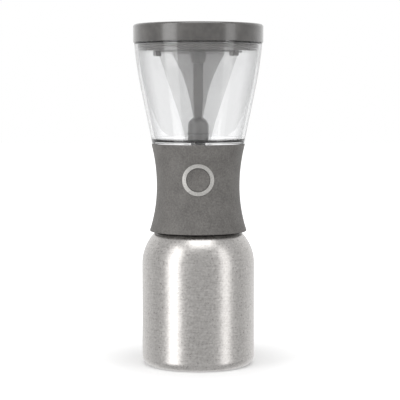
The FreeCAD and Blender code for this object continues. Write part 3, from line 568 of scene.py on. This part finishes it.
gasket_low, gasket_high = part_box("neck_gasket")
neck_r = gasket_high[0] - GASKET_OVERHANG
neck_top = gasket_low[2]
thread_low = neck_top - THREAD_DROP
outer_thread = thread_ridge("neck_thread", neck_r, 1, thread_low, finishes["brushed_steel"], "carafe")
inner_thread = thread_ridge("collar_thread", neck_r + THREAD_ROOM, -1, thread_low + THREAD_PITCH / 2,
                            finishes["dark_plastic"], "brewer")
print("neck radius", round(neck_r, 5), "and thread from", round(thread_low, 5))

# %% [markdown]
# ## The dome's joint line
# The drain's dome is a cap pushed on its base, and the photograph shows the joint as a thin
# dark line. A small circle spun round the axis makes a ring in the joint, and its near-black
# colour is painted shade that stands in for the shadow in the gap. About half of it is sunk
# in the wall, and it rides on the brewer.

# %% Ring in the joint of the dome
DRAIN_GASKET_H = 0.001
DRAIN_BASE_H = 0.0063
SEAM_SECTION = 0.0005
SEAM_RADIUS = 0.0099
SEAM_SIDES = 12
SEAM_STEPS = 96

floor_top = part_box("drain_gasket")[0][2]
seam_z = floor_top + DRAIN_BASE_H + DRAIN_GASKET_H
deselect_all()
bpy.ops.mesh.primitive_circle_add(
    vertices=SEAM_SIDES, radius=SEAM_SECTION, location=(SEAM_RADIUS, 0, seam_z),
    rotation=(math.pi / 2, 0, 0))
seam = bpy.context.object
seam.name = "dome_seam"
bpy.ops.object.transform_apply(location=True, rotation=True, scale=True)
bpy.ops.object.mode_set(mode="EDIT")
bpy.ops.mesh.select_all(action="SELECT")
bpy.ops.mesh.spin(steps=SEAM_STEPS, angle=2 * math.pi, center=(0, 0, 0), axis=(0, 0, 1))
weld_and_turn_out()
bpy.ops.object.shade_smooth()
# The ring takes the near-black painted shade of the joint.
seam.data.materials.append(joint_painted_shade)
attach(seam, "brewer")
print("dome joint at", round(seam_z, 5), "with faces:", len(seam.data.polygons))

# %% [markdown]
# ## The stage
# The object stands on a white table in front of white. The table takes the lamps' light
# as a matt surface, so it keeps the object's soft shadow. It also adds a little light of
# its own, more of it further off, so that it reaches white. That light is only for the
# camera and for rays that come through the clear wall. A table that showed in the steel
# would cut off the lower end of each lamp's band, and the photograph's bands run down to
# the foot. So the table is left out of mirror images and lets lamp light past.

# %% Floor
FLOOR_SIZE = 12.0
FLOOR_COLOUR = (0.9, 0.9, 0.9, 1)
FLOOR_GLOW = (0.14, 0.75)
FLOOR_GLOW_REACH = (0.07, 0.26)
WHITE = (1, 1, 1, 1)


def seen_rays(tree):
    """1 for what the camera sees, straight or through the clear wall, else 0."""
    path = tree.nodes.new("ShaderNodeLightPath")
    return maths(tree, "MAXIMUM", path.outputs["Is Camera Ray"], path.outputs["Is Transmission Ray"])


def floor_material():
    """White matt floor that keeps the shadow and reaches white where it is seen."""
    material, tree, shader = new_material("white_table")
    shader.inputs["Base Color"].default_value = FLOOR_COLOUR
    shader.inputs["Roughness"].default_value = 1.0
    shader.inputs["Specular IOR Level"].default_value = 0.0
    shader.inputs["Emission Color"].default_value = WHITE
    away = tree.nodes.new("ShaderNodeVectorMath")
    away.operation = "LENGTH"
    tree.links.new(coordinates(tree), away.inputs[0])
    glow = spread(tree, away.outputs["Value"], FLOOR_GLOW, source=FLOOR_GLOW_REACH)
    strength = maths(tree, "MULTIPLY", seen_rays(tree), glow)
    tree.links.new(strength, shader.inputs["Emission Strength"])
    return material


deselect_all()
bpy.ops.mesh.primitive_plane_add(size=FLOOR_SIZE, location=(0, 0, 0))
floor = bpy.context.object
floor.name = "table"
bpy.ops.object.transform_apply(location=True, rotation=True, scale=True)
floor.data.materials.append(floor_material())
floor.visible_glossy = False
floor.visible_shadow = False
print("table side:", FLOOR_SIZE, "m")

# %% [markdown]
# ## The world
# For the camera, and for light that has come through the clear wall, the world is plain
# white. For everything else it is a soft room: bright behind the object, which gives the
# metal its pale edges, and dimmer in front, which gives the steel its grey middle. In
# mirror images the room is a little brighter, to bring the steel to its grey.

# %% World
ROOM_FRONT = 0.46
ROOM_BACK = 0.9
ROOM_MIRRORED = 0.18
ROOM_TURN = (0.1, 0.8)


def build_world():
    """White where it is seen, a soft room where it only lights."""
    world = bpy.data.worlds.new("room")
    bpy.context.scene.world = world
    world.use_nodes = True
    tree = world.node_tree
    tree.nodes.clear()
    source = tree.nodes.new("ShaderNodeTexCoord")
    split = tree.nodes.new("ShaderNodeSeparateXYZ")
    tree.links.new(source.outputs["Generated"], split.inputs["Vector"])
    depth = spread(tree, split.outputs["Y"], (ROOM_FRONT, ROOM_BACK), source=ROOM_TURN)
    seen = seen_rays(tree)
    unseen = maths(tree, "SUBTRACT", 1.0, seen)
    path = tree.nodes.new("ShaderNodeLightPath")
    mirrored = maths(tree, "MULTIPLY", path.outputs["Is Glossy Ray"], ROOM_MIRRORED)
    room = maths(tree, "MULTIPLY", maths(tree, "ADD", depth, mirrored), unseen)
    light = tree.nodes.new("ShaderNodeBackground")
    light.inputs["Color"].default_value = WHITE
    output = tree.nodes.new("ShaderNodeOutputWorld")
    tree.links.new(maths(tree, "ADD", room, seen), light.inputs["Strength"])
    tree.links.new(light.outputs["Background"], output.inputs["Surface"])


build_world()
print("world:", bpy.context.scene.world.name)

# %% [markdown]
# ## The lamps
# A round metal body shows its lamps as upright bands. A band's place on the body tells
# where its lamp stands: light meets the camera from twice the angle of the wall. The
# strong band left of the middle is a tall panel at 50 degrees to the left, and the
# weaker one on the right is a panel at 57 degrees. A third, overhead, lights the lid.

# %% Lamps
LOOK_AT = (0, 0, 0.16)
PANELS = {
    "left_panel": {"turn": -50, "height": 0.30, "distance": 1.1, "width": 0.50, "tall": 1.7, "power": 6.2},
    "right_panel": {"turn": 57, "height": 0.30, "distance": 1.2, "width": 0.40, "tall": 1.7, "power": 3.2},
    "top_panel": {"turn": 10, "height": 1.6, "distance": 0.5, "width": 1.2, "tall": 1.2, "power": 10},
}


def panel(name, turn, height, distance, width, tall, power):
    """A soft panel that faces the object, turned from the front about Z."""
    angle = math.radians(turn)
    place = (distance * math.sin(angle), -distance * math.cos(angle), height)
    deselect_all()
    bpy.ops.object.light_add(type="AREA", location=place)
    lamp = bpy.context.object
    lamp.name = name
    lamp.data.shape = "RECTANGLE"
    lamp.data.size = width
    lamp.data.size_y = tall
    lamp.data.energy = power
    aim = Vector(LOOK_AT) - Vector(place)
    lamp.rotation_euler = aim.to_track_quat("-Z", "Y").to_euler()


for lamp_name, values in PANELS.items():
    panel(lamp_name, **values)
print("lamps:", ", ".join(PANELS))

# %% [markdown]
# ## The camera
# The picture is taken from about 1.3 metres, level with the middle of the clear chamber
# and tilted down a few degrees, through a long lens, so the upright lines stay nearly
# upright.

# %% Camera
EYE_HEIGHT = 0.256
EYE_DISTANCE = 1.33
AIM_HEIGHT = 0.1563
EYE_SIDE = 0.0017
SENSOR = 36.0
VIEW_WIDTH = 0.38

deselect_all()
bpy.ops.object.camera_add(location=(EYE_SIDE, -EYE_DISTANCE, EYE_HEIGHT))
camera = bpy.context.object
camera.name = "camera"
tilt = math.atan2(EYE_HEIGHT - AIM_HEIGHT, EYE_DISTANCE)
camera.rotation_euler = (math.pi / 2 - tilt, 0, 0)
camera.data.sensor_width = SENSOR
camera.data.lens = SENSOR * EYE_DISTANCE / VIEW_WIDTH
bpy.context.scene.camera = camera
bpy.context.scene.view_settings.view_transform = "Standard"
print("lens:", round(camera.data.lens, 1))

# %% Last cell
import json
